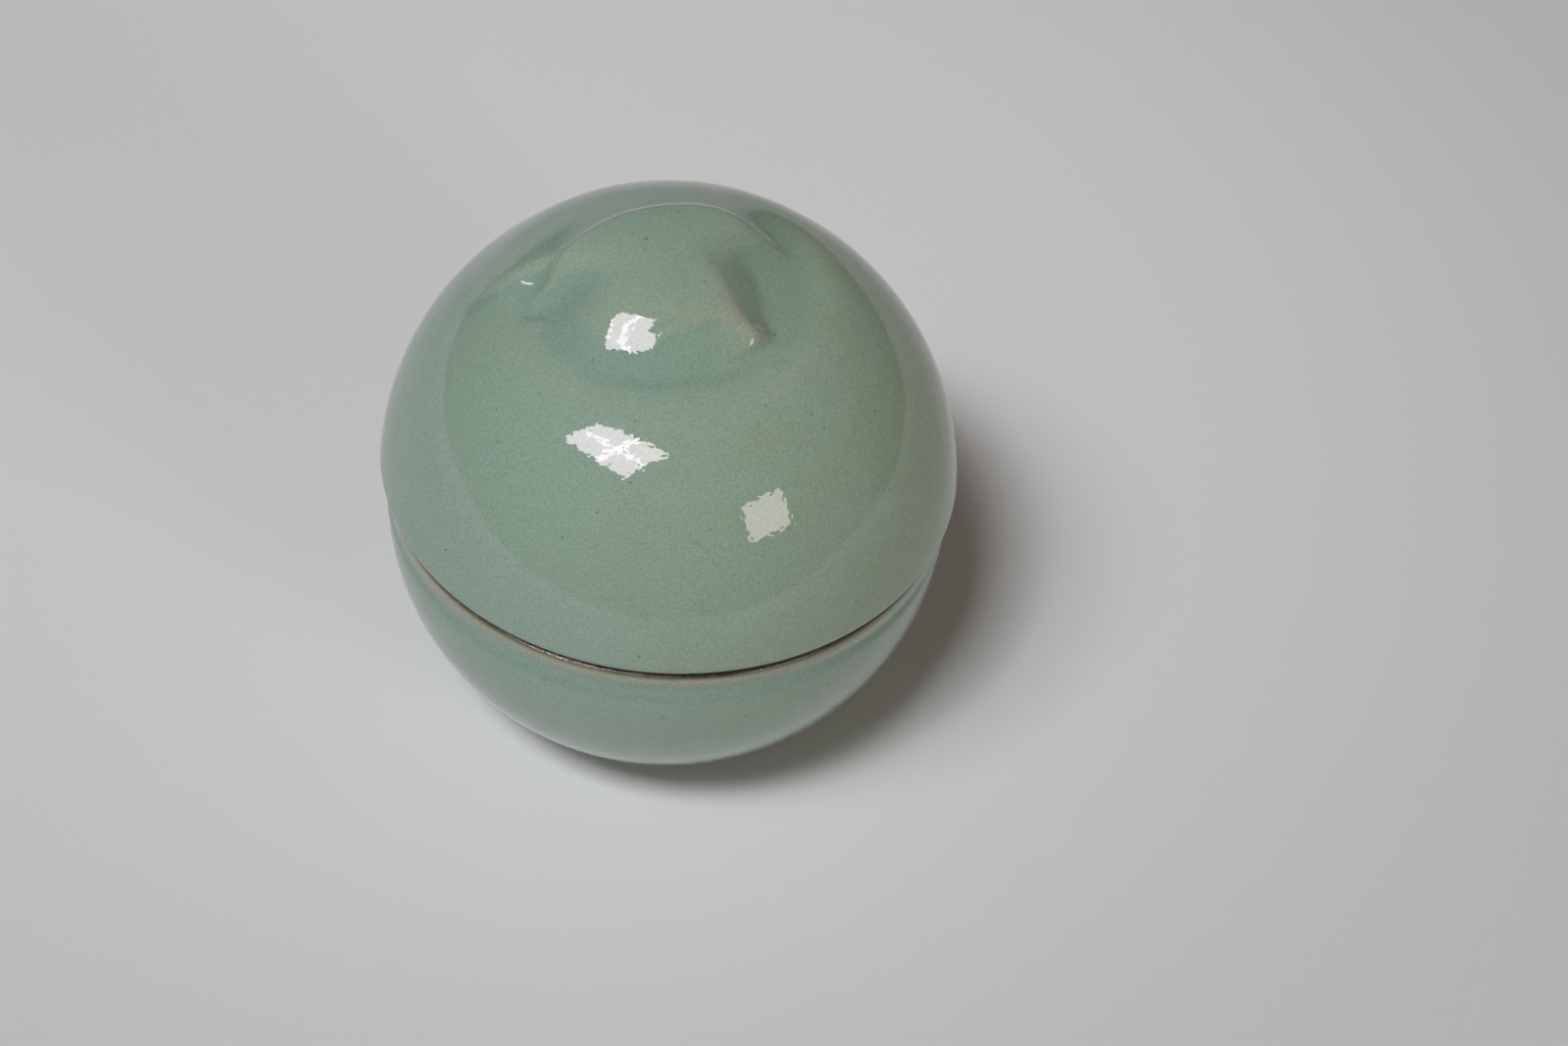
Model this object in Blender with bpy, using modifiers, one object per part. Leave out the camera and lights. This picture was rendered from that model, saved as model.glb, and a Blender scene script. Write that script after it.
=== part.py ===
"""Lidded rice bowl: a round, glazed stoneware bowl and the domed lid that lifts off it.

Units are metres, +Z is up, and the origin is the centre of the bowl's foot, at table level.
The bowl stands on a low foot ring and has an upright flange inside its mouth. The lid sits on
the rim outside that flange. Its top carries a twisted lump of clay with a finger trough pressed
round the front of it, which serves as the grip.
"""

import math

import bpy

# Driving dimensions
SEAT_HEIGHT = 0.0580        # table to the rim that the lid rests on
SEAT_GAP = 0.0003           # clearance between the rim and the lid
TURN_STEPS = 64             # facets round a turned piece
DOME_RINGS = 30             # rings of facets in the hand-shaped part of the lid

BELLY_RADIUS = 0.0583       # widest part of the bowl below its rim
BELLY_HEIGHT = 0.0508       # height of that widest part
BELLY_DEPTH = 0.0566        # vertical half-axis of the lower bowl's ellipse
BELLY_LEAVE = -47.0         # angle where that ellipse hands over to the flatter underside
BOWL_WALL = 0.0050
RIM_RADIUS = 0.0583         # outside of the rounded rim
RIM_ROUND = 0.0018          # radius of the rim's outer edge
RIM_BEAD = 0.0046           # height of the rim's bead, down to its shallow groove
GROOVE_RADIUS = 0.0579      # outside of the bowl in that groove

FLANGE_OUTER = 0.0524       # upright flange that keeps the lid in place
FLANGE_INNER = 0.0500
FLANGE_HEIGHT = 0.0050      # above the rim

FOOT_RADIUS = 0.0290
FOOT_WIDTH = 0.0045         # width of the ring that stands on the table
FOOT_HEIGHT = 0.0040        # foot ring, up to the bowl's underside
FOOT_EDGE = 0.0005          # chamfer on the ring's edges
FOOT_RECESS = 0.0036        # depth of the hollow inside the ring
FLOOR_HEIGHT = 0.0095       # inside floor of the bowl

DOME_RADIUS = 0.05986       # the lid's outer ellipse
DOME_RISE = 0.06027
DOME_CENTRE = 0.05605       # height of that ellipse's centre
CROWN_WALL = 0.0078         # thickness under the pole; the wall thins to about 6 mm at the mouth
LIP_ROUND = 0.0030          # radius of the lid's lower outer edge
LIP_INNER = 0.0539          # inside radius of the lid's mouth
LIP_CHAMFER = 0.0006

TROUGH_CENTRE = (-0.0018, 0.0012)   # finger trough pressed round the lump on top
TROUGH_RADIUS = 0.0289
TROUGH_EDGE = 0.0045        # half the width of its outer slope
TROUGH_DEPTH = 0.0038

LUMP_CENTRE = (0.0012, -0.0112)     # round lump of clay, standing behind the trough
LUMP_RADIUS = 0.0263
LUMP_RISE = 0.0037          # above the plain dome, at its back edge
LUMP_TILT = 0.045           # the lump falls towards the front by this slope
LUMP_LEFT = 0.0010          # extra rise of its back edge on the left
LUMP_FADE = 0.0150          # its rise dies away over about this distance outside its edge

FOLD_AZIMUTH = 47.0         # the fold on the lump points this many degrees from -Y towards +X
FOLD_TIP = 0.0227           # pole to the tip of the fold
FOLD_DROP = 0.0020          # the fold's tip lies this much lower than its root
FOLD_SIDE = 0.0083          # crest to the foot of its steep side, at the root
FRONT_FOOT = -0.0198        # middle of the slope that ends the lump at the front
FRONT_SLOPE = 0.0075        # half the width of that slope, left of the fold
LEFT_FOOT = -0.0186         # middle of the slope that ends the lump on its left
LEFT_SLOPE = 0.0062

BOWL_GLAZE = (0.330, 0.435, 0.360, 1.0)
LID_GLAZE = (0.345, 0.450, 0.375, 1.0)


def clear_scene():
    for thing in list(bpy.data.objects):
        bpy.data.objects.remove(thing, do_unlink=True)


def glaze(name, colour):
    material = bpy.data.materials.new(name)
    material.use_nodes = True
    shader = material.node_tree.nodes["Principled BSDF"]
    shader.inputs["Base Color"].default_value = colour
    shader.inputs["Roughness"].default_value = 0.12
    shader.inputs["Metallic"].default_value = 0.0
    return material


def arc(centre, radius, start, end, count):
    """Points (x, z) on a circular arc, with its angles in degrees from +X."""
    points = []
    for i in range(count + 1):
        angle = math.radians(start + (end - start) * i / count)
        points.append((centre[0] + radius * math.cos(angle), centre[1] + radius * math.sin(angle)))
    return points


def bezier(p0, p1, p2, p3, count):
    points = []
    for i in range(count + 1):
        t = i / count
        weights = ((1 - t) ** 3, 3 * t * (1 - t) ** 2, 3 * t * t * (1 - t), t ** 3)
        points.append(tuple(sum(w * p[k] for w, p in zip(weights, (p0, p1, p2, p3))) for k in (0, 1)))
    return points


def offset_inward(points, distance):
    """The outline moved towards the axis side, square to its own direction."""
    moved = []
    for i, (x, z) in enumerate(points):
        ahead = points[min(i + 1, len(points) - 1)]
        behind = points[max(i - 1, 0)]
        dx, dz = ahead[0] - behind[0], ahead[1] - behind[1]
        length = math.hypot(dx, dz)
        moved.append((x + distance * dz / length, z - distance * dx / length))
    return moved


def bowl_wall_outline():
    """Outer wall from the widest part down to the foot ring, top to bottom."""
    leave = math.radians(BELLY_LEAVE)
    ellipse = []
    for i in range(10):
        angle = leave * i / 9
        ellipse.append((BELLY_RADIUS * math.cos(angle), BELLY_HEIGHT + BELLY_DEPTH * math.sin(angle)))
    start = ellipse[-1]
    slope = math.atan2(BELLY_DEPTH * math.cos(leave), -BELLY_RADIUS * math.sin(leave))
    reach = 0.0040          # length of the curve's handles
    below = (start[0] - reach * math.cos(slope), start[1] - reach * math.sin(slope))
    end = (FOOT_RADIUS + 0.0008, FOOT_HEIGHT)
    beside = (end[0] + reach, end[1] + 0.0012)
    return ellipse + bezier(start, below, beside, end, 4)[1:]


def bowl_profile():
    """Half section from the inside floor, up and over the rim, down the outside to the recess."""
    wall = bowl_wall_outline()
    inside = list(reversed(offset_inward(wall, BOWL_WALL)))
    inside = [p for p in inside if p[1] > FLOOR_HEIGHT + 0.0003][::2]
    floor = [(0.0, FLOOR_HEIGHT), (0.015, FLOOR_HEIGHT)]

    low = inside[-1]
    flange_top = SEAT_HEIGHT + FLANGE_HEIGHT
    throat = bezier(low, (low[0], low[1] + 0.004), (FLANGE_INNER, SEAT_HEIGHT - 0.004),
                    (FLANGE_INNER, SEAT_HEIGHT), 4)[1:]
    flange_round = (FLANGE_OUTER - FLANGE_INNER) / 2
    flange_middle = (FLANGE_INNER + flange_round, flange_top - flange_round)
    flange = arc(flange_middle, flange_round, 180, 0, 5) + [(FLANGE_OUTER, SEAT_HEIGHT)]

    rim = arc((RIM_RADIUS - RIM_ROUND, SEAT_HEIGHT - RIM_ROUND), RIM_ROUND, 90, 0, 4)
    groove_height = SEAT_HEIGHT - RIM_BEAD
    bead = bezier(rim[-1], (RIM_RADIUS, groove_height + 0.0015), (GROOVE_RADIUS, groove_height + 0.0010),
                  (GROOVE_RADIUS, groove_height), 3)[1:]

    inner_radius = FOOT_RADIUS - FOOT_WIDTH
    foot = [(FOOT_RADIUS, FOOT_HEIGHT - 0.0008), (FOOT_RADIUS, FOOT_EDGE), (FOOT_RADIUS - FOOT_EDGE, 0.0),
            (inner_radius + FOOT_EDGE, 0.0), (inner_radius, FOOT_EDGE)]
    recess = [(inner_radius - 0.0004, FOOT_RECESS - 0.0006), (inner_radius - 0.0012, FOOT_RECESS),
              (0.012, FOOT_RECESS + 0.0004), (0.0, FOOT_RECESS + 0.0006)]
    return floor + inside + throat + flange + rim + bead + wall + foot + recess


def lid_profile():
    """Half section from the top of the dome, down the outside, and up the inside."""
    bottom = SEAT_HEIGHT + SEAT_GAP
    lip_top = bottom + LIP_ROUND
    lip_angle = math.asin((lip_top - DOME_CENTRE) / DOME_RISE)
    lip_radius = DOME_RADIUS * math.cos(lip_angle)

    dome = []
    shoulder = math.radians(50.0)       # the rings lie closer together above this, round the lump
    for i in range(DOME_RINGS):
        angle = math.pi / 2 - (math.pi / 2 - shoulder) * i / DOME_RINGS
        dome.append((max(0.0, DOME_RADIUS * math.cos(angle)) if i else 0.0,
                     DOME_CENTRE + DOME_RISE * math.sin(angle)))
    for i in range(8):
        angle = shoulder - (shoulder - lip_angle) * i / 8
        dome.append((DOME_RADIUS * math.cos(angle), DOME_CENTRE + DOME_RISE * math.sin(angle)))

    lip = arc((lip_radius - LIP_ROUND, lip_top), LIP_ROUND, 0, -90, 4)
    mouth = [(LIP_INNER + LIP_CHAMFER, bottom), (LIP_INNER, bottom + LIP_CHAMFER)]

    inside = []
    inner_rise = DOME_RISE - CROWN_WALL
    for i in range(1, 10):
        angle = math.pi / 2 * i / 9
        radius = LIP_INNER * math.cos(angle) if i < 9 else 0.0
        inside.append((radius, DOME_CENTRE + inner_rise * math.sin(angle)))
    inside = [p for p in inside if p[1] > bottom + 2 * LIP_CHAMFER]
    return dome + lip + mouth + inside


def soft_step(value, width):
    """0 well below zero, 1 well above it, with a smooth change about 2 widths wide."""
    t = min(1.0, max(0.0, 0.5 + value / (2 * width)))
    return t * t * (3 - 2 * t)


def trough_height(x, y):
    """Depth of the finger trough, as a height below the plain dome. It runs out at the back."""
    dx, dy = x - TROUGH_CENTRE[0], y - TROUGH_CENTRE[1]
    bearing = math.degrees(math.atan2(dy, dx)) - 95.0
    bearing = (bearing + 180.0) % 360.0 - 180.0
    depth = TROUGH_DEPTH * (1 - math.exp(-(bearing / 60.0) ** 2))
    return -depth * soft_step(TROUGH_RADIUS - math.hypot(dx, dy), TROUGH_EDGE)


def fold_place(x, y):
    """The position along the fold, towards its tip, and across it, towards its steep side."""
    azimuth = math.radians(FOLD_AZIMUTH)
    return (x * math.sin(azimuth) - y * math.cos(azimuth), x * math.cos(azimuth) + y * math.sin(azimuth))


def lump_height(x, y):
    """Top of the lump above the plain dome. Outside its back edge it dies away slowly."""
    dx, dy = x - LUMP_CENTRE[0], y - LUMP_CENTRE[1]
    reach = math.hypot(dx, dy)
    back = LUMP_CENTRE[1] + LUMP_RADIUS
    if reach < LUMP_RADIUS:
        height = LUMP_RISE + LUMP_TILT * (y - back)
        left_rise = LUMP_LEFT
    else:
        edge_y = LUMP_CENTRE[1] + LUMP_RADIUS * max(dy, 0.0) / reach
        height = LUMP_RISE + LUMP_TILT * (edge_y - back)
        height *= math.exp((LUMP_RADIUS - reach) / LUMP_FADE)
        left_rise = LUMP_LEFT * math.exp((LUMP_RADIUS - reach) / LUMP_FADE)
    height += left_rise * soft_step(-0.0130 - x, 0.0070) * soft_step(y + 0.0012, 0.0050)
    along, across = fold_place(x, y)
    height -= FOLD_DROP * soft_step(along - 0.0130, 0.0090)
    hollow = 0.0016 * soft_step(across + 0.0012, 0.0090) * soft_step(along + 0.0012, 0.0080)
    return height - hollow


def lump_cover(x, y):
    """1 on the lump, 0 in the trough around it."""
    dx, dy = x - LUMP_CENTRE[0], y - LUMP_CENTRE[1]
    beyond = math.hypot(dx, dy) - LUMP_RADIUS
    along, across = fold_place(x, y)

    crest = 0.0016 - 0.0025 * soft_step(along - 0.0100, 0.0070)
    side = max(0.0025, FOLD_SIDE - 0.25 * along)
    steep = soft_step(crest + side - across, side)

    left = 1.0
    if y < 0.0:
        left = 1 - (1 - soft_step(x - LEFT_FOOT, LEFT_SLOPE)) * soft_step(-0.0045 - y, 0.0036)
    bend = soft_step(x - 0.0020, 0.0100)        # the front turns steep towards the fold's tip
    slope = FRONT_SLOPE * (1 - bend) + 0.0016 * bend
    front = soft_step(y - FRONT_FOOT - 0.0038 * bend, slope)
    tip = soft_step(FOLD_TIP - along, 0.0014)

    body = steep * left * front * tip * soft_step(-beyond, 0.0030)
    edge = soft_step(math.degrees(math.atan2(dy, dx)) - 58.0, 12.0) * left
    edge *= math.exp(-(min(beyond, 0.0) / 0.0070) ** 2) * soft_step(dy - 0.0030, 0.0030)
    return 1 - (1 - body) * (1 - edge)


def relief_height(x, y):
    """Height of the hand-shaped top above the plain dome at the plan position x, y."""
    trough = trough_height(x, y)
    height = trough + lump_cover(x, y) * (lump_height(x, y) - trough)
    return height * soft_step(0.0410 - math.hypot(x, y), 0.0050)


def turn(name, profile, material, collection):
    """A closed body of revolution about Z, from a half section that ends on the axis."""
    mesh = bpy.data.meshes.new(name)
    mesh.from_pydata([(x, 0.0, z) for x, z in profile],
                     [(i, i + 1) for i in range(len(profile) - 1)], [])
    piece = bpy.data.objects.new(name, mesh)
    collection.objects.link(piece)
    screw = piece.modifiers.new("Turn", "SCREW")
    screw.axis = "Z"
    screw.steps = TURN_STEPS
    screw.render_steps = TURN_STEPS
    screw.use_merge_vertices = True
    screw.merge_threshold = 0.00005
    mesh.materials.append(material)
    return piece


def apply_modifiers(piece):
    depsgraph = bpy.context.evaluated_depsgraph_get()
    finished = bpy.data.meshes.new_from_object(piece.evaluated_get(depsgraph))
    piece.modifiers.clear()
    plain = piece.data
    piece.data = finished
    bpy.data.meshes.remove(plain)
    finished.name = piece.name


def shape_top(lid):
    """Presses the relief into the dome's outer skin. The inside of the lid stays a plain dome."""
    for vertex in lid.data.vertices:
        x, y, z = vertex.co
        level = math.hypot(math.hypot(x, y) / DOME_RADIUS, (z - DOME_CENTRE) / DOME_RISE)
        if level > 0.97 and z > DOME_CENTRE + DOME_RISE / 2:
            vertex.co.z += relief_height(x, y)


def main():
    clear_scene()
    collection = bpy.data.collections.new("lidded_rice_bowl")
    bpy.context.scene.collection.children.link(collection)

    bowl = turn("bowl", bowl_profile(), glaze("bowl_glaze", BOWL_GLAZE), collection)
    lid = turn("lid", lid_profile(), glaze("lid_glaze", LID_GLAZE), collection)
    for piece in (bowl, lid):
        apply_modifiers(piece)
        piece.data.shade_smooth()
        piece.data.set_sharp_from_angle(angle=math.radians(40))
    shape_top(lid)


main()
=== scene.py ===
import math

import bpy
import numpy as np
from mathutils import Matrix, Vector


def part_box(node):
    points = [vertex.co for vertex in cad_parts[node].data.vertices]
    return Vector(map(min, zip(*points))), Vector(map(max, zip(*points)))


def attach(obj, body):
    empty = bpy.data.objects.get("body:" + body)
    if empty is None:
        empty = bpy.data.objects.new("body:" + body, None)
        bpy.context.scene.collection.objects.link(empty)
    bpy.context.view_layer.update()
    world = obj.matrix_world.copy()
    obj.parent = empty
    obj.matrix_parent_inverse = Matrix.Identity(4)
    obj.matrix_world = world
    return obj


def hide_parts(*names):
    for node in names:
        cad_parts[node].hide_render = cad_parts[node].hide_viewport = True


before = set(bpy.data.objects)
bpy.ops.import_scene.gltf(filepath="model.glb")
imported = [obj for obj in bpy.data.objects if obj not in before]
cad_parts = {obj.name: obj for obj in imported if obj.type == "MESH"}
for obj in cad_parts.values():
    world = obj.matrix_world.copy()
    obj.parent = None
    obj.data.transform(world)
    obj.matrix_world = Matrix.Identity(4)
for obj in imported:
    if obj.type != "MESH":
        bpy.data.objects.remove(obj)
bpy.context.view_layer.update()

# ---------------------------------------------------------------- sizes, in metres
BOWL_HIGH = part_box("bowl")[1]
LID_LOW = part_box("lid")[0]

SEAT_GAP = 0.0003
SEAT = LID_LOW.z - SEAT_GAP         # height of the rim that the lid rests on
TURN_STEPS = 384                    # facets round a turned piece
POINT_STEP = 0.0011                 # longest distance between two points of an outline

BELLY_RADIUS = 0.0583               # widest part of the bowl below its rim
BELLY_HEIGHT = SEAT - 0.0072
BELLY_DEPTH = 0.0566                # vertical half-axis of the lower bowl's ellipse
BELLY_LEAVE = -47.0                 # angle where that ellipse ends, in degrees
BOWL_WALL = 0.0050
RIM_RADIUS = BOWL_HIGH.x
RIM_ROUND = 0.0018
RIM_BEAD = 0.0046                   # height of the rim's bead, down to its shallow groove
GROOVE_RADIUS = 0.0579
FLANGE_OUTER = 0.0524
FLANGE_INNER = 0.0500
FLANGE_TOP = BOWL_HIGH.z
FOOT_RADIUS = 0.0290
FOOT_WIDTH = 0.0045
FOOT_HEIGHT = 0.0040
FOOT_EDGE = 0.0005
FOOT_RECESS = 0.0036
FLOOR_HEIGHT = 0.0095               # inside floor of the bowl

DOME_RADIUS = 0.05986
DOME_RISE = 0.06027
DOME_CENTRE = SEAT - 0.00195
CROWN_WALL = 0.0078
LIP_ROUND = 0.0030
LIP_INNER = 0.0539
LIP_CHAMFER = 0.0006
LIP_LIFT = 0.00068                  # mean rise of the lip off its lowest level
LIP_GAPE = 0.00030                  # more on one side and less on the other
LIP_WAVE = 0.00006                  # five waves round the edge

THIN_BAND = 0.0023                  # thin glaze reaches this far below the bowl's seat
POOL_DEPTH = 0.0062                 # glaze is deepest this far below it

# The relief of the lid's top is drawn in multiples of UNIT, seen in plan from above.
UNIT = 0.0590
TROUGH_CENTRE = (-0.03, 0.02)       # finger trough round the lump
TROUGH_RADIUS = 0.49
TROUGH_DEPTH = 0.066
LUMP_CENTRE = (0.09, -0.36)         # centre of the lump's round back edge
LUMP_RADIUS = 0.60
LUMP_RISE = 0.060                   # above the dome, at the line y = LUMP_LEVEL
LUMP_LEVEL = 0.22
LUMP_TILT = 0.045                   # the lump falls towards the front by this slope
LUMP_LEFT = 0.018                   # extra rise on the left
TWIST = math.radians(47.0)          # the fold's tip points this far from -Y round to +X
FOLD_TIP = 0.385                    # pole to the tip of the fold
RELIEF_END = 0.70                   # the dome is plain outside this radius
CURVATURE_STEP = 0.04
FULL_CURVATURE = 4.0                # where the glaze is thinnest or deepest

# Surfaces, with linear colours
CELADON_COOL = (0.288, 0.403, 0.328)
CELADON_WARM = (0.282, 0.364, 0.254)
CELADON_PALE = (0.302, 0.414, 0.330)
GLAZE_POOLED = (0.200, 0.330, 0.270)
GLAZE_THIN = (0.385, 0.370, 0.285)
PINHOLE = (0.120, 0.135, 0.095)
BARE_CLAY = (0.085, 0.077, 0.036)
PAPER = (0.796, 0.800, 0.816)
# painted shade: the paper's darker tone where the lamps' light falls off across the floor
PAPER_FALLOFF_SHADE = (0.657, 0.660, 0.676)
ROOM = (0.075, 0.060, 0.042)
GLAZE_IOR = 1.5
BUMP_HEIGHT = 0.000016              # of the waves and pits in the glaze

# Table: paper up to a front edge, with a hole that the foot ring covers
TABLE_LOW, TABLE_HIGH = (-2.0, -0.36), (1.2, 3.0)
BEYOND = 9.0                        # half side of the floor that only the camera sees
FLOOR_HOLE_RADIUS = FOOT_RADIUS - 0.0015
FLOOR_HOLE_STEPS = 96
# centre of the floor's ring of painted shade
FALLOFF_SHADE_CENTRE = (-0.04, 0.12, 0.0)

# Lights, with angles in degrees as elevation and azimuth (see direction)
AIM_POINT = Vector((0, 0, 0.08))
LIGHT_DISTANCE = 6.0
PANEL_CORNERS = ((39.9, -56.6), (39.5, -19.6), (53.0, 1.5), (55.9, -48.5))
PANEL_TINT = (1.0, 0.84, 0.94)
PANEL_GLOW = 11.3
CROSS_GLOW = 7.5                    # the panel's two bars add this where they pass
CROSS_AT = (0.56, 0.48)             # middle of the bars, across and up the panel
CROSS_HALF_WIDTH = 0.045
KEY_TINT = (0.97, 0.985, 1.0)
FILL_TINT = (1.0, 0.87, 0.84)

CAMERA_PLACE = (0.0249, -0.5375, SEAT + 0.5556)
CAMERA_PITCH = 43.34                # degrees up from straight down
CAMERA_ROLL = 5.735                 # degrees
CAMERA_LENS = 85.5                  # millimetres
CAMERA_SENSOR = 36.0                # millimetres


# ---------------------------------------------------------------- outlines
def arc(centre, radius, start, end, count):
    angles = np.radians(np.linspace(start, end, count + 1))
    return [(centre[0] + radius * math.cos(a), centre[1] + radius * math.sin(a)) for a in angles]


def bezier(p0, p1, p2, p3, count):
    points = []
    for t in np.linspace(0.0, 1.0, count + 1):
        weights = ((1 - t) ** 3, 3 * t * (1 - t) ** 2, 3 * t * t * (1 - t), t ** 3)
        points.append(tuple(sum(w * p[k] for w, p in zip(weights, (p0, p1, p2, p3))) for k in (0, 1)))
    return points


def offset_inward(points, distance):
    """The outline moved sideways, towards the axis for an outline that runs down the outside."""
    moved = []
    for i, (x, z) in enumerate(points):
        ahead, behind = points[min(i + 1, len(points) - 1)], points[max(i - 1, 0)]
        dx, dz = ahead[0] - behind[0], ahead[1] - behind[1]
        length = math.hypot(dx, dz)
        moved.append((x + distance * dz / length, z - distance * dx / length))
    return moved


def refine(points, step):
    """The outline with points added so that none lie further apart than step."""
    fine = [points[0]]
    for a, b in zip(points, points[1:]):
        parts = max(1, math.ceil(math.dist(a, b) / step))
        fine += [(a[0] + (b[0] - a[0]) * k / parts, a[1] + (b[1] - a[1]) * k / parts)
                 for k in range(1, parts + 1)]
    return fine


def bowl_profile():
    """Half section from the inside floor, up and over the rim, down the outside to the recess."""
    leave = math.radians(BELLY_LEAVE)
    ellipse = [(BELLY_RADIUS * math.cos(a), BELLY_HEIGHT + BELLY_DEPTH * math.sin(a))
               for a in np.linspace(0.0, leave, 60)]
    slope = math.atan2(BELLY_DEPTH * math.cos(leave), -BELLY_RADIUS * math.sin(leave))
    reach = 0.0040
    start = ellipse[-1]
    below = (start[0] - reach * math.cos(slope), start[1] - reach * math.sin(slope))
    end = (FOOT_RADIUS + 0.0008, FOOT_HEIGHT)
    wall = ellipse + bezier(start, below, (end[0] + reach, end[1] + 0.0012), end, 20)[1:]

    inside = list(reversed(offset_inward(wall, BOWL_WALL)))
    inside = [p for p in inside if p[1] > FLOOR_HEIGHT + 0.0012]
    floor = bezier((0.0, FLOOR_HEIGHT), (0.015, FLOOR_HEIGHT), (inside[0][0] - 0.007, FLOOR_HEIGHT),
                   inside[0], 40)[:-1]
    low = inside[-1]
    throat = bezier(low, (low[0], low[1] + 0.004), (FLANGE_INNER, SEAT - 0.004),
                    (FLANGE_INNER, SEAT), 16)[1:]
    flange_round = (FLANGE_OUTER - FLANGE_INNER) / 2
    flange = arc((FLANGE_INNER + flange_round, FLANGE_TOP - flange_round), flange_round, 180, 0, 16)
    flange.append((FLANGE_OUTER, SEAT + 0.0004))
    flange.append((FLANGE_OUTER + 0.0004, SEAT))
    rim = arc((RIM_RADIUS - RIM_ROUND, SEAT - RIM_ROUND), RIM_ROUND, 90, 0, 14)
    groove = SEAT - RIM_BEAD
    bead = bezier(rim[-1], (RIM_RADIUS, groove + 0.0015), (GROOVE_RADIUS, groove + 0.0010),
                  (GROOVE_RADIUS, groove), 10)[1:]
    bead += bezier((GROOVE_RADIUS, groove), (GROOVE_RADIUS, groove - 0.0010),
                   (BELLY_RADIUS, BELLY_HEIGHT + 0.0008), wall[0], 8)[1:-1]
    inner = FOOT_RADIUS - FOOT_WIDTH
    foot = arc((FOOT_RADIUS + 0.0008, FOOT_HEIGHT - 0.0008), 0.0008, 90, 180, 6)[1:]
    foot += arc((FOOT_RADIUS - FOOT_EDGE, FOOT_EDGE), FOOT_EDGE, 0, -90, 5)
    foot += arc((inner + FOOT_EDGE, FOOT_EDGE), FOOT_EDGE, -90, -180, 5)
    recess = arc((inner - 0.0012, FOOT_RECESS - 0.0012), 0.0012, 0, 90, 6)
    recess += [(0.012, FOOT_RECESS + 0.0004), (0.0, FOOT_RECESS + 0.0006)]
    return refine(floor + inside + throat + flange + rim + bead + wall + foot + recess, POINT_STEP)


def lid_profile():
    """Half section from the top of the dome, down the outside, and up the inside."""
    lip_top = LID_LOW.z + LIP_ROUND
    lip_angle = math.asin((lip_top - DOME_CENTRE) / DOME_RISE)
    lip_radius = DOME_RADIUS * math.cos(lip_angle)
    shoulder = math.radians(62.0)
    angles = np.concatenate([np.linspace(math.pi / 2, shoulder, 90)[:-1],
                             np.linspace(shoulder, lip_angle, 60)[:-1]])
    dome = [(DOME_RADIUS * math.cos(a), DOME_CENTRE + DOME_RISE * math.sin(a)) for a in angles]
    dome[0] = (0.0, DOME_CENTRE + DOME_RISE)
    lip = arc((lip_radius - LIP_ROUND, lip_top), LIP_ROUND, 0, -90, 14)
    mouth = arc((LIP_INNER + LIP_CHAMFER, LID_LOW.z + LIP_CHAMFER), LIP_CHAMFER, -90, -180, 5)
    rise = DOME_RISE - CROWN_WALL
    inside = [(LIP_INNER * math.cos(a), DOME_CENTRE + rise * math.sin(a))
              for a in np.linspace(0.0, math.pi / 2, 70)]
    inside[-1] = (0.0, DOME_CENTRE + rise)
    inside = [p for p in inside if p[1] > LID_LOW.z + 2 * LIP_CHAMFER]
    return refine(dome + lip + mouth + inside, POINT_STEP)


# ---------------------------------------------------------------- the lid's twisted top
def ramp(value, width, rounding):
    """Rises from 0 to 1 over value = -width to width, with rounded ends."""
    return (np.sqrt((value + width) ** 2 + rounding ** 2)
            - np.sqrt((value - width) ** 2 + rounding ** 2) + 2 * width) / (4 * width)


def ease(value, low, high):
    """Exactly 0 below low and 1 above high, with a smooth rise between."""
    t = np.clip((value - low) / (high - low), 0.0, 1.0)
    return t * t * (3 - 2 * t)


def curve(xs, ys, x):
    """A smooth curve through a few points."""
    xs, ys = np.array(xs, float), np.array(ys, float)
    slopes = np.gradient(ys, xs)
    x = np.clip(x, xs[0], xs[-1])
    i = np.clip(np.searchsorted(xs, x, side="right") - 1, 0, len(xs) - 2)
    h = xs[i + 1] - xs[i]
    t = (x - xs[i]) / h
    return ((2 * t ** 3 - 3 * t ** 2 + 1) * ys[i] + (t ** 3 - 2 * t ** 2 + t) * h * slopes[i]
            + (3 * t ** 2 - 2 * t ** 3) * ys[i + 1] + (t ** 3 - t ** 2) * h * slopes[i + 1])


def trough_height(x, y):
    """The finger trough, as a height below the dome. It runs out behind the lump."""
    dx, dy = x - TROUGH_CENTRE[0], y - TROUGH_CENTRE[1]
    bearing = np.degrees(np.arctan2(dy, dx))

    def toward(centre, spread):
        return np.exp(-(((bearing - centre + 180) % 360 - 180) / spread) ** 2)

    depth = (TROUGH_DEPTH * (1 - toward(95, 60)) + 0.006 * toward(-5, 60) - 0.004 * toward(190, 40)
             + 0.014 * toward(-115, 40))
    return -depth * ramp(TROUGH_RADIUS - np.hypot(dx, dy), 0.07, 0.05)


def back_edge(x, y):
    """The offset and distance from the back edge's centre, and the distance outside that edge."""
    dx, dy = x - LUMP_CENTRE[0], y - LUMP_CENTRE[1]
    reach = np.hypot(dx, dy) + 1e-9         # never zero, as lump_top divides by it
    return dx, dy, reach, reach - LUMP_RADIUS


def fold_place(x, y):
    """The position along the fold, towards its tip, and across it, towards its steep side."""
    return (x * math.sin(TWIST) - y * math.cos(TWIST), x * math.cos(TWIST) + y * math.sin(TWIST))


def fold_crest(along):
    """Where the crest of the fold lies, across it."""
    return curve([-.2, -.05, .06, .145, .2, .26, .315, .36, .45],
                 [.03, .028, .022, .012, -.001, -.014, -.014, .0, .0], along)


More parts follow.
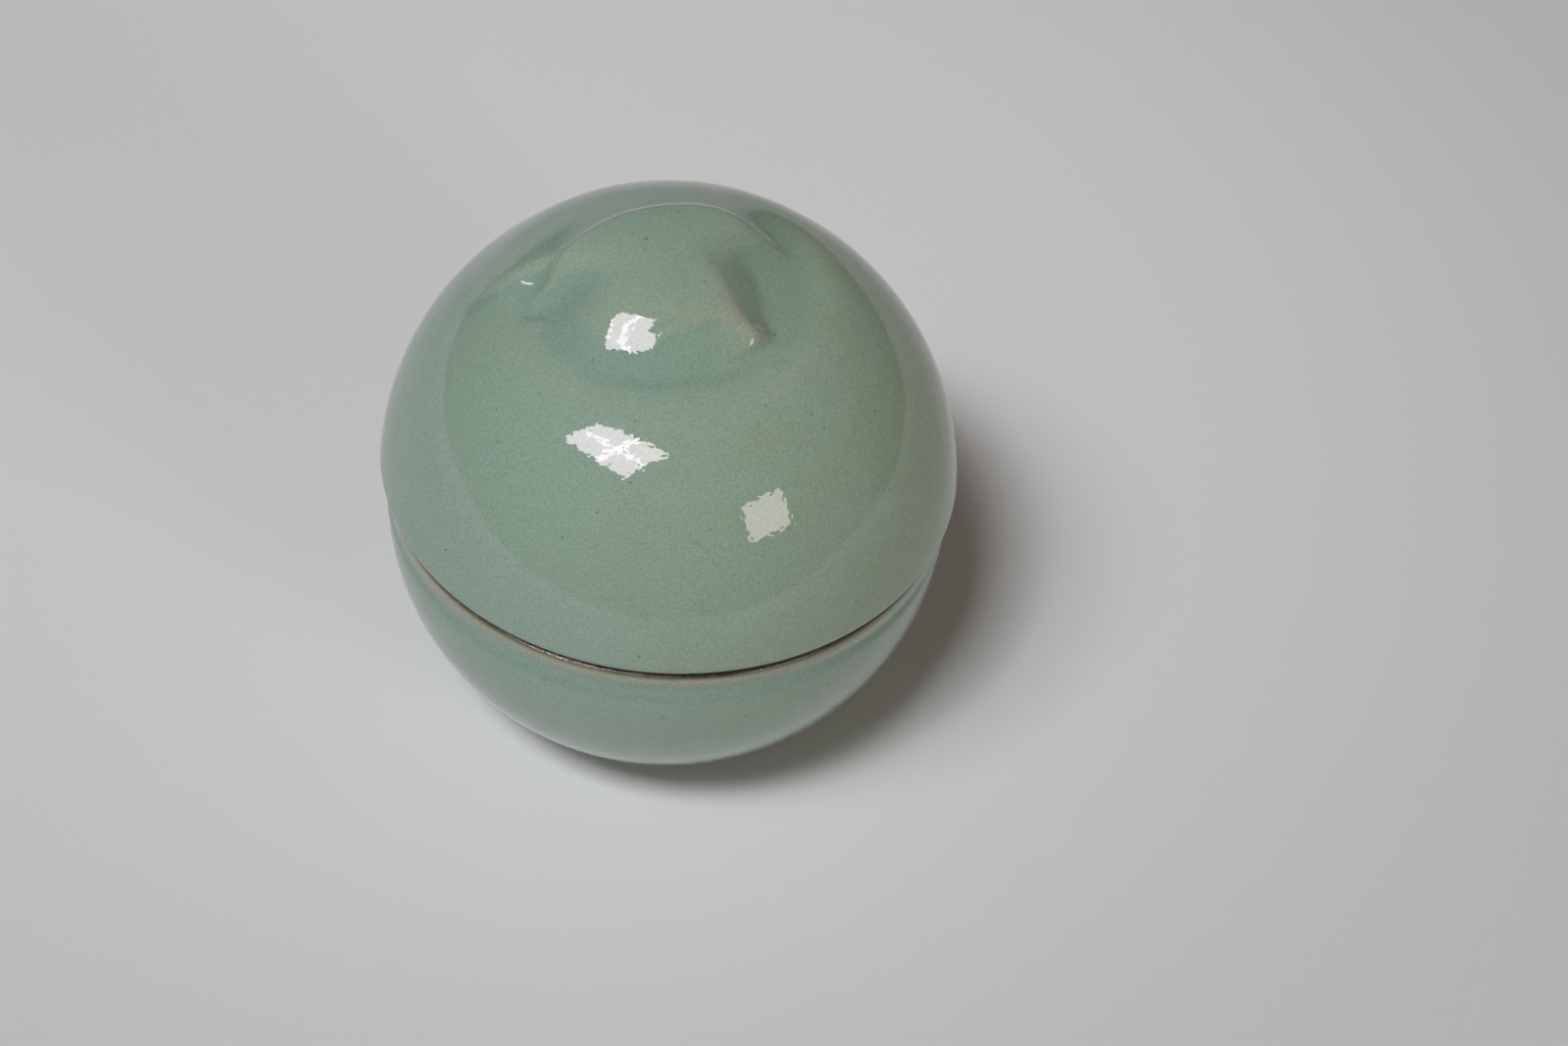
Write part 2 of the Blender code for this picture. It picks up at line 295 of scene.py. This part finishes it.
def lump_top(x, y):
    """The lump's top above the dome. Past its back edge it falls at once, then dies away slowly."""
    _, dy, reach, beyond = back_edge(x, y)
    left_rise = LUMP_LEFT * ramp(-x - 0.22, 0.12, 0.05)
    inside = LUMP_RISE + LUMP_TILT * (y - LUMP_LEVEL) + left_rise * ramp(y + 0.02, 0.08, 0.05)
    edge_y = LUMP_CENTRE[1] + LUMP_RADIUS * np.maximum(dy, 0) / reach
    away = np.maximum(beyond, 0)
    outside = ((LUMP_RISE + LUMP_TILT * (edge_y - LUMP_LEVEL) + left_rise)
               * (0.66 * np.exp(-away / 0.26) + 0.34 * np.exp(-away / 0.040)))
    within = ramp(-beyond, 0.014, 0.022)
    top = within * inside + (1 - within) * outside

    along, across = fold_place(x, y)
    crest = fold_crest(along)
    near_crest = np.where(across < crest, np.exp(-((across - crest) / 0.10) ** 2), 1.0)
    ridge = 0.010 * ramp(along - 0.12, 0.08, 0.05) * near_crest * ramp(0.5 - along, 0.1, 0.05)
    hollow = 0.028 * ramp(across + 0.02, 0.12, 0.05) * ramp(along + 0.02, 0.1, 0.05)
    return top + ridge - hollow - 0.035 * ramp(along - 0.22, 0.12, 0.05)


def lump_cover(x, y):
    """1 on the lump, 0 in the trough around it."""
    dx, dy, _, beyond = back_edge(x, y)
    along, across = fold_place(x, y)

    half = curve([-.2, 0, .05, .2, .3, .38, .5], [.16, .125, .11, .095, .07, .045, .04], along)
    steep = 1 - ((1 - ramp(fold_crest(along) + half - across, 0.8 * half, 0.02))
                 * ramp(along - 0.08, 0.07, 0.04))
    left = 1 - (1 - ramp(x + 0.315, 0.09, 0.04)) * ramp(-0.07 - y, 0.04, 0.03)
    foot = curve([-.45, -.30, -.226, -.141, -.053, .014, .08, .136, .20, .30, .5],
                 [-.335, -.345, -.345, -.34, -.338, -.33, -.315, -.30, -.295, -.285, -.27], x)
    width = curve([-.45, -.2, -.05, .05, .14, .3, .5], [.12, .108, .100, .08, .07, .05, .05], x)
    front = ramp(y - foot, width, 0.018 + 0.10 * np.maximum(width - 0.03, 0))
    tip = ramp(FOLD_TIP - along, 0.012, 0.01)
    around = np.degrees(np.arctan2(dy, dx))
    back_right = 1 - (1 - ramp(around - 73, 10, 6)) * ease(y, -0.04, 0.14)
    body = steep * left * front * tip * back_right * ramp(0.02 - beyond, 0.02, 0.02)

    brim = np.exp(-(np.maximum(-beyond, 0) / 0.12) ** 2)
    brim = brim * ramp(around - 80, 8, 5) * ease(y, -0.06, 0.02) * left
    return 1 - (1 - body) * (1 - brim)


def small_marks(x, y):
    """Marks of the hand, each in turn: a pleat in front of the fold, a nick in the pleat's edge,
    a bump by the fold's tip, and a dent and a shelf on the left."""
    pleat = curve([-.06, -.007, .04, .096, .132, .182, .233, .29],
                  [-.345, -.305, -.288, -.264, -.236, -.244, -.259, -.262], x) - y
    marks = -(0.008 * ramp(pleat, 0.009, 0.007) * np.exp(-np.maximum(pleat, 0) / 0.05)
              * ramp(x + 0.04, 0.03, 0.02) * ramp(0.27 - x, 0.03, 0.02))
    nick = y + 0.266 - 0.35 * x
    marks -= (0.005 * np.exp(-(nick / 0.009) ** 2)
              * ramp(x + 0.05, 0.02, 0.02) * ramp(0.05 - x, 0.02, 0.02))
    marks += 0.004 * np.exp(-((x - 0.255) ** 2 + (y + 0.235) ** 2) / 0.0009)
    marks -= 0.010 * np.exp(-((x + 0.47) / 0.05) ** 2 - ((y + 0.16) / 0.03) ** 2)
    shelf = ramp(y + 0.075, 0.03, 0.02) * np.exp(-(np.maximum(y + 0.075, 0) / 0.20) ** 2)
    return marks + 0.014 * shelf * ramp(-x - 0.46, 0.07, 0.04) * ramp(x + 0.66, 0.06, 0.04)


def relief(x, y):
    """Height of the lid's top above the plain dome, with x, y and the result in units of UNIT."""
    trough = trough_height(x, y)
    height = trough + lump_cover(x, y) * (lump_top(x, y) - trough) + small_marks(x, y)
    return height * ramp(RELIEF_END - np.hypot(x, y), 0.05, 0.03)


def relief_curvature(x, y):
    """Negative on crests and edges, positive in hollows."""
    return (relief(x + CURVATURE_STEP, y) + relief(x - CURVATURE_STEP, y)
            + relief(x, y + CURVATURE_STEP) + relief(x, y - CURVATURE_STEP)
            - 4 * relief(x, y)) / CURVATURE_STEP ** 2


# ---------------------------------------------------------------- meshes
def linked_object(name, data):
    piece = bpy.data.objects.new(name, data)
    bpy.context.scene.collection.objects.link(piece)
    return piece


def turned(name, profile):
    """A closed body of revolution about Z from a half section whose two ends lie on the axis."""
    rings = np.array(profile[1:-1])
    angles = np.linspace(0.0, 2 * math.pi, TURN_STEPS, endpoint=False)
    points = np.stack([np.outer(rings[:, 0], np.cos(angles)), np.outer(rings[:, 0], np.sin(angles)),
                       np.repeat(rings[:, 1:], TURN_STEPS, axis=1)], axis=-1).reshape(-1, 3)
    first, last = len(points), len(points) + 1
    points = np.vstack([points, [0.0, 0.0, profile[0][1]], [0.0, 0.0, profile[-1][1]]])
    faces = []
    for i in range(len(rings) - 1):
        for j in range(TURN_STEPS):
            k = (j + 1) % TURN_STEPS
            faces.append((i * TURN_STEPS + j, (i + 1) * TURN_STEPS + j,
                          (i + 1) * TURN_STEPS + k, i * TURN_STEPS + k))
    base = (len(rings) - 1) * TURN_STEPS
    for j in range(TURN_STEPS):
        k = (j + 1) % TURN_STEPS
        faces.append((first, j, k))
        faces.append((last, base + k, base + j))
    mesh = bpy.data.meshes.new(name)
    mesh.from_pydata(points.tolist(), [], faces)
    mesh.update()
    mesh.shade_smooth()
    return linked_object(name, mesh)


def coordinates(mesh):
    co = np.empty(len(mesh.vertices) * 3)
    mesh.vertices.foreach_get("co", co)
    return co.reshape(-1, 3)


def set_coordinates(mesh, co):
    mesh.vertices.foreach_set("co", co.ravel())
    mesh.update()


def set_attribute(mesh, name, values):
    mesh.attributes.new(name, "FLOAT", "POINT").data.foreach_set("value", values.astype(np.float32))


def uneven_lip(radius, bearing, z):
    """How far the lid's lower edge lifts off the rim; it waves a little and gapes on one side."""
    lift = (LIP_LIFT + LIP_GAPE * np.cos(bearing + math.radians(130))
            + LIP_WAVE * np.sin(5 * bearing))
    edge = (ramp(LID_LOW.z + LIP_ROUND - z, LIP_ROUND, 0.001)
            * ramp(radius - 0.0552, 0.0006, 0.0004))
    return lift * edge


def fold_light(x, y):
    """A patch on the fold where the glaze is thinner than elsewhere."""
    dx, dy = x - 0.22, y + 0.20
    return np.exp(-((dx * 0.83 + dy * 0.55) / 0.12) ** 2 - ((dx * 0.55 - dy * 0.83) / 0.13) ** 2)


def make_lid():
    """The shell with its hand-pressed top, and the glaze's depth over it as attributes."""
    lid = turned("lid_shell", lid_profile())
    co = coordinates(lid.data)
    radius = np.hypot(co[:, 0], co[:, 1])
    bearing = np.arctan2(co[:, 1], co[:, 0])
    level = np.hypot(radius / DOME_RADIUS, (co[:, 2] - DOME_CENTRE) / DOME_RISE)
    outer = (level > 0.97) & (co[:, 2] > DOME_CENTRE + DOME_RISE / 2)
    x, y = co[:, 0] / UNIT, co[:, 1] / UNIT
    curvature = np.where(outer, relief_curvature(x, y), 0.0)
    co[outer, 2] += UNIT * relief(x[outer], y[outer])
    co[:, 2] += uneven_lip(radius, bearing, co[:, 2])
    set_coordinates(lid.data, co)

    above_rest = co[:, 2] - LID_LOW.z
    lip = ramp(0.0016 - above_rest, 0.0005, 0.0003) * ramp(radius - 0.0560, 0.0010, 0.0005)
    under = ramp(0.0014 - above_rest, 0.0003, 0.0002) * ramp(0.0590 - radius, 0.0006, 0.0004)
    fold = fold_light(x, y)
    thin = (0.16 + 0.5 * fold) * np.clip(-curvature / FULL_CURVATURE, 0, 1) + lip
    set_attribute(lid.data, "thin", thin)
    set_attribute(lid.data, "pool", (1 - fold) * np.clip(curvature / FULL_CURVATURE, 0, 1))
    set_attribute(lid.data, "bare", np.clip(under, 0, 1))
    return lid


def make_bowl():
    """The shell, with thin glaze on the rim, a pool under it, and bare clay on seat and foot."""
    bowl = turned("bowl_shell", bowl_profile())
    co = coordinates(bowl.data)
    radius, z = np.hypot(co[:, 0], co[:, 1]), co[:, 2]
    bearing = np.arctan2(co[:, 1], co[:, 0])
    wave = 0.0004 * np.sin(3 * bearing) + 0.0002 * np.sin(11 * bearing)
    band = ramp(z - (SEAT - THIN_BAND + wave), 0.0012, 0.0008)
    pooled = np.exp(-((z - (SEAT - POOL_DEPTH)) / 0.0016) ** 2)
    pooled = 1.7 * pooled * ramp(radius - 0.055, 0.001, 0.001)
    seat = (ramp(z - (SEAT - 0.0008), 0.0003, 0.0002) * ramp(SEAT + 0.0006 - z, 0.0004, 0.0003)
            * ramp(radius - 0.0500, 0.0004, 0.0003))
    foot = ramp(0.0014 - z, 0.0003, 0.0002)
    set_attribute(bowl.data, "thin", np.clip(band, 0, 1))
    set_attribute(bowl.data, "pool", pooled)
    set_attribute(bowl.data, "bare", np.clip(seat + foot, 0, 1))
    return bowl


# ---------------------------------------------------------------- materials
class Surface:
    """A material under construction, with short helpers for its node tree."""

    def __init__(self, name, kind="ShaderNodeBsdfPrincipled"):
        self.material = bpy.data.materials.new(name)
        self.material.use_nodes = True
        self.nodes = self.material.node_tree.nodes
        self.links = self.material.node_tree.links
        self.nodes.clear()
        self.out = self.nodes.new("ShaderNodeOutputMaterial")
        self.shader = self.nodes.new(kind)
        self.links.new(self.shader.outputs[0], self.out.inputs["Surface"])
        self.place = self.nodes.new("ShaderNodeTexCoord").outputs["Object"]

    def feed(self, socket, value):
        """Sets a socket to a number or a colour, or links it to another node's output."""
        if isinstance(value, tuple):
            socket.default_value = (*value, 1.0)
        elif isinstance(value, (int, float)):
            socket.default_value = value
        else:
            self.links.new(value, socket)

    def set(self, name, value):
        self.feed(self.shader.inputs[name], value)

    def attribute(self, name):
        node = self.nodes.new("ShaderNodeAttribute")
        node.attribute_name = name
        return node.outputs["Fac"]

    def axes(self, vector):
        node = self.nodes.new("ShaderNodeSeparateXYZ")
        self.links.new(vector, node.inputs[0])
        return node.outputs

    def noise(self, wavelength, detail=2.0, roughness=0.5):
        node = self.nodes.new("ShaderNodeTexNoise")
        node.inputs["Scale"].default_value = 1.0 / wavelength
        node.inputs["Detail"].default_value = detail
        node.inputs["Roughness"].default_value = roughness
        self.links.new(self.place, node.inputs["Vector"])
        return node.outputs["Fac"]

    def math(self, operation, *values, clamp=False):
        node = self.nodes.new("ShaderNodeMath")
        node.operation = operation
        node.use_clamp = clamp
        for socket, value in zip(node.inputs, values):
            self.feed(socket, value)
        return node.outputs[0]

    def remap(self, value, low, high, to_low=0.0, to_high=1.0):
        """A smooth step from to_low, where the value is low or less, to to_high."""
        node = self.nodes.new("ShaderNodeMapRange")
        node.interpolation_type = "SMOOTHSTEP"
        self.links.new(value, node.inputs["Value"])
        for name, number in (("From Min", low), ("From Max", high), ("To Min", to_low),
                             ("To Max", to_high)):
            node.inputs[name].default_value = number
        return node.outputs["Result"]

    def mix(self, factor, a, b, blend="MIX"):
        node = self.nodes.new("ShaderNodeMix")
        node.data_type = "RGBA"
        node.blend_type = blend
        for socket, value in ((node.inputs[0], factor), (node.inputs[6], a), (node.inputs[7], b)):
            self.feed(socket, value)
        return node.outputs[2]

    def grey(self, value):
        node = self.nodes.new("ShaderNodeCombineColor")
        for socket in node.inputs:
            self.links.new(value, socket)
        return node.outputs[0]

    def bump(self, height, distance):
        node = self.nodes.new("ShaderNodeBump")
        node.inputs["Strength"].default_value = 1.0
        node.inputs["Distance"].default_value = distance
        self.links.new(height, node.inputs["Height"])
        self.links.new(node.outputs["Normal"], self.shader.inputs["Normal"])


def glaze(name, warmth):
    """Celadon: grey-green glaze that thins to beige on edges and pools to teal in hollows."""
    s = Surface(name)
    bare = s.attribute("bare")
    holes = s.noise(0.0013, 1.0)

    across = s.math("ADD", s.math("MULTIPLY", s.axes(s.place)["X"], 9.0), s.noise(0.022, 2.0))
    colour = s.mix(s.remap(across, 0.35, 1.05, 0.0, warmth), CELADON_COOL, CELADON_WARM)
    mottle = s.remap(s.noise(0.0045, 3.0), 0.35, 0.70, 0.0, 0.35)
    colour = s.mix(mottle, colour, CELADON_PALE)
    pool = s.math("MULTIPLY", s.attribute("pool"), 0.4, clamp=True)
    colour = s.mix(pool, colour, GLAZE_POOLED)
    broken = s.remap(s.noise(0.0035, 3.0), 0.25, 0.65, 0.4, 1.0)
    thin = s.math("MULTIPLY", s.attribute("thin"), broken, clamp=True)
    colour = s.mix(thin, colour, GLAZE_THIN)
    speckle = s.remap(s.noise(0.0005, 2.0, 0.7), 0.30, 0.70, 0.88, 1.10)
    colour = s.mix(1.0, colour, s.grey(speckle), "MULTIPLY")
    colour = s.mix(s.remap(holes, 0.765, 0.80, 0.0, 0.7), colour, PINHOLE)
    s.set("Base Color", s.mix(bare, colour, BARE_CLAY))

    dull = s.math("MULTIPLY", bare, s.remap(s.noise(0.0020, 1.0), 0.50, 0.58, 0.34, 0.01))
    s.set("Roughness", s.math("ADD", dull, s.remap(s.noise(0.004), 0.3, 0.7, 0.02, 0.04)))
    s.set("IOR", GLAZE_IOR)

    waves = s.math("ADD", s.noise(0.00095, 0.0), s.math("MULTIPLY", s.noise(0.006, 1.0), 1.2))
    rough_clay = s.math("MULTIPLY", s.noise(0.0008, 1.0), s.math("MULTIPLY", bare, 8.0))
    height = s.math("SUBTRACT", s.math("ADD", waves, rough_clay), s.remap(holes, 0.765, 0.80))
    s.bump(height, BUMP_HEIGHT)
    return s.material


def paper():
    """Pale paper, darker in a ring round the object as painted shade for the lamps' falloff, and clear
    when seen from below.
    """
    s = Surface("floor_paper")
    offset = s.nodes.new("ShaderNodeVectorMath")
    offset.operation = "SUBTRACT"
    offset.inputs[1].default_value = FALLOFF_SHADE_CENTRE
    s.links.new(s.place, offset.inputs[0])
    dot = s.nodes.new("ShaderNodeVectorMath")
    dot.operation = "DOT_PRODUCT"
    for socket in dot.inputs[:2]:
        s.links.new(offset.outputs[0], socket)
    distance_squared = dot.outputs["Value"]
    # painted shade: the paper darkens in a ring round the object, where the lamps' light falls off
    ring = s.math("SUBTRACT", s.remap(distance_squared, 0.0, 0.09),
                  s.remap(distance_squared, 0.15, 0.5))
    s.set("Base Color", s.mix(ring, PAPER, PAPER_FALLOFF_SHADE))
    s.set("Roughness", 0.7)

    seen_from_below = s.nodes.new("ShaderNodeNewGeometry").outputs["Backfacing"]
    blend = s.nodes.new("ShaderNodeMixShader")
    s.links.new(seen_from_below, blend.inputs[0])
    s.links.new(s.shader.outputs[0], blend.inputs[1])
    s.links.new(s.nodes.new("ShaderNodeBsdfTransparent").outputs[0], blend.inputs[2])
    s.links.new(blend.outputs[0], s.out.inputs["Surface"])
    return s.material


def panel_glow():
    """Even light from the panel, brighter along two crossed bars."""
    s = Surface("panel_light", "ShaderNodeEmission")
    axes = s.axes(s.nodes.new("ShaderNodeUVMap").outputs[0])
    bars = [s.math("COMPARE", axes[axis], centre, CROSS_HALF_WIDTH)
            for axis, centre in zip("XY", CROSS_AT)]
    s.set("Color", PANEL_TINT)
    s.set("Strength", s.math("MULTIPLY_ADD", s.math("ADD", *bars), CROSS_GLOW, PANEL_GLOW))
    return s.material


# ---------------------------------------------------------------- stage
def direction(elevation, azimuth):
    """Unit vector, from degrees above the horizon and degrees round from -Y towards +X."""
    e, a = math.radians(elevation), math.radians(azimuth)
    return Vector((math.sin(a) * math.cos(e), -math.cos(a) * math.cos(e), math.sin(e)))


def softbox(name, aim, width, height, radiance, colour, spin=0.0):
    """A rectangular lamp far off in the direction aim. Spin turns it about that direction."""
    light = bpy.data.lights.new(name, "AREA")
    light.shape = "RECTANGLE"
    light.size = width
    light.size_y = height
    light.energy = radiance * math.pi * width * height
    light.color = colour
    lamp = linked_object(name, light)
    lamp.location = AIM_POINT + aim * LIGHT_DISTANCE
    turn = aim.to_track_quat("Z", "Y").to_matrix() @ Matrix.Rotation(math.radians(spin), 3, "Z")
    lamp.rotation_euler = turn.to_euler()
    return lamp


def panel_light():
    """The key light's cloth front. It is seen only as a reflection."""
    mesh = bpy.data.meshes.new("key_panel")
    points = [AIM_POINT + direction(*corner) * LIGHT_DISTANCE for corner in PANEL_CORNERS]
    mesh.from_pydata(points, [], [(0, 1, 2, 3)])
    place = mesh.uv_layers.new(name="panel")
    for loop, uv in zip(place.data, ((0, 0), (1, 0), (1, 1), (0, 1))):
        loop.uv = uv
    mesh.materials.append(panel_glow())
    panel = linked_object("key_panel", mesh)
    panel.visible_camera = False
    panel.visible_diffuse = False
    panel.visible_shadow = False
    return panel


def floor_piece(name, low, high, height, surface):
    """A rectangle of floor. Light reaches the recess by a hole that the foot ring covers."""
    corners = [math.atan2(y, x) for x in (low[0], high[0]) for y in (low[1], high[1])]
    angles = sorted([*np.linspace(-math.pi, math.pi, FLOOR_HOLE_STEPS, endpoint=False), *corners])
    points = []
    for angle in angles:
        dx, dy = math.cos(angle), math.sin(angle)
        reach = min((high[0] if dx > 0 else low[0]) / dx if abs(dx) > 1e-6 else math.inf,
                    (high[1] if dy > 0 else low[1]) / dy if abs(dy) > 1e-6 else math.inf)
        points.append((FLOOR_HOLE_RADIUS * dx, FLOOR_HOLE_RADIUS * dy, height))
        points.append((reach * dx, reach * dy, height))
    count = len(points)
    faces = [(i, i + 1, (i + 3) % count, (i + 2) % count) for i in range(0, count, 2)]
    mesh = bpy.data.meshes.new(name)
    mesh.from_pydata(points, [], faces)
    mesh.materials.append(surface)
    piece = linked_object(name, mesh)
    return piece


def make_stage():
    """The table's front edge shows in the lid: there the floor ends for all rays but the camera's."""
    world = bpy.data.worlds.new("room")
    bpy.context.scene.world = world
    world.use_nodes = True
    world.node_tree.nodes["Background"].inputs["Color"].default_value = (*ROOM, 1)

    surface = paper()
    floor_piece("floor", TABLE_LOW, TABLE_HIGH, 0.0, surface)
    beyond = floor_piece("floor_beyond", (-BEYOND, -BEYOND), (BEYOND, BEYOND), -0.0005, surface)
    beyond.visible_glossy = False
    beyond.visible_diffuse = False
    beyond.visible_shadow = False

    panel = panel_light()
    for name, elevation, azimuth, size, radiance in (("key", 59.5, -26.0, 1.40, 36.0),
                                                     ("key_side", 55.0, -46.0, 1.60, 12.0)):
        lamp = softbox(name, direction(elevation, azimuth), size, 0.8 * size, radiance, KEY_TINT, 10.0)
        lamp.visible_glossy = False
    softbox("fill", direction(21.0, 45.0), 1.80, 1.48, 6.3, FILL_TINT)


def make_camera():
    data = bpy.data.cameras.new("camera")
    data.sensor_width = CAMERA_SENSOR
    data.lens = CAMERA_LENS
    data.clip_start = 0.01
    camera = linked_object("camera", data)
    camera.location = CAMERA_PLACE
    pitch = Matrix.Rotation(math.radians(CAMERA_PITCH), 3, "X")
    roll = Matrix.Rotation(math.radians(CAMERA_ROLL), 3, "Z")
    camera.rotation_euler = (pitch @ roll).to_euler()
    bpy.context.scene.camera = camera


bpy.context.scene.view_settings.view_transform = "Standard"
make_camera()
make_stage()

bowl = make_bowl()
bowl.data.materials.append(glaze("bowl_glaze_surface", 0.45))
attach(bowl, "bowl")
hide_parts("bowl")

lid = make_lid()
lid.data.materials.append(glaze("lid_glaze_surface", 1.0))
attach(lid, "lid")
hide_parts("lid")
